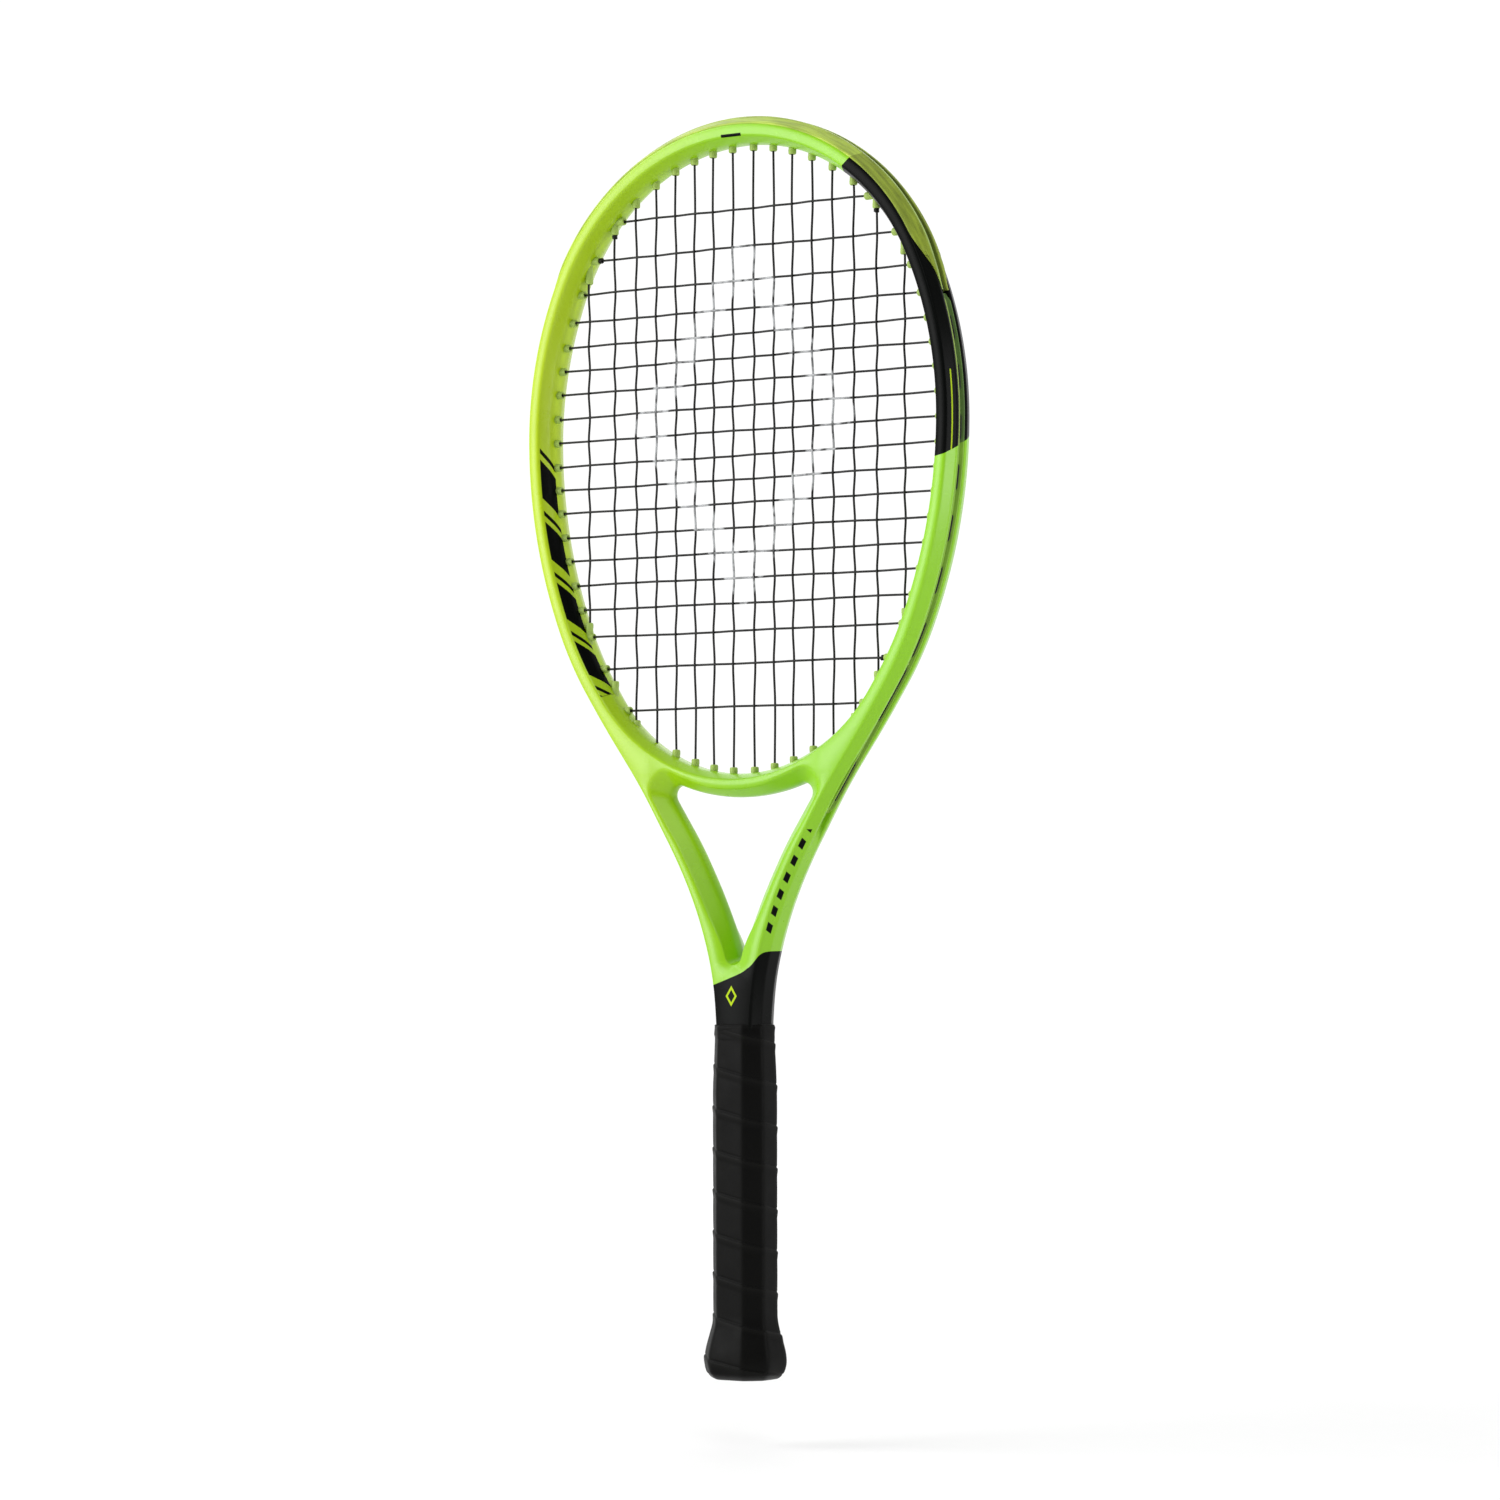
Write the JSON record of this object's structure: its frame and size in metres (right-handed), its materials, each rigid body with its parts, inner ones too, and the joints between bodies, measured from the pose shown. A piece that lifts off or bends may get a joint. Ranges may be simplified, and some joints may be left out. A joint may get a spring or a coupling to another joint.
{
  "type": "tennis racket",
  "caption": "Strung tennis racket with a moulded frame, open throat, grommets, bumper guard, wrapped handle and a butt cap with a removable trap door.",
  "frame": {"origin": "centre of the butt end face, the lowest point of the racket", "axes": "+Z from the butt end up the handle to the crown, +X across the string face, +Y the back of the face and -Y the front"},
  "size_m": [0.279, 0.0374, 0.685],
  "materials": {
    "frame_paint": "gloss clear-coated paint over carbon laminate, yellow-green fading to green, with black panels",
    "carbon": "bare moulded carbon tube",
    "handle_foam": "moulded polyurethane foam",
    "cap_black": "satin moulded nylon",
    "badge": "plain gloss disc",
    "staple_steel": "bright wire",
    "grip": "satin polyurethane wrap with perforations",
    "tape": "stretched finishing tape",
    "guard": "translucent nylon guard",
    "grommet": "translucent nylon grommets",
    "string": "round polyester monofilament"
  },
  "bodies": {
    "racket": {"frame_hoop": "frame_paint", "throat_arm_left": "frame_paint", "throat_arm_right": "frame_paint", "throat_bridge": "frame_paint", "neck_tube": "frame_paint", "handle_leg_left": "carbon", "handle_leg_right": "carbon", "handle_core": "handle_foam", "butt_cap": "cap_black", "butt_cap_staples": "staple_steel", "grip_wrap": "grip", "finishing_tape": "tape", "bumper_guard": "guard", "grommet_strip_left": "grommet", "grommet_strip_right": "grommet", "grommet_strip_throat": "grommet", "main_strings": "string", "cross_strings": "string", "string_knots": "string"},
    "trap_door": {"trap_door": "cap_black", "trap_door_badge": "badge"}
  },
  "joints": [
    {"name": "trap_door_pull", "type": "slide", "parent": "racket", "child": "trap_door", "axis": [0, 0, -1], "range_m": [0, 0.03]}
  ]
}
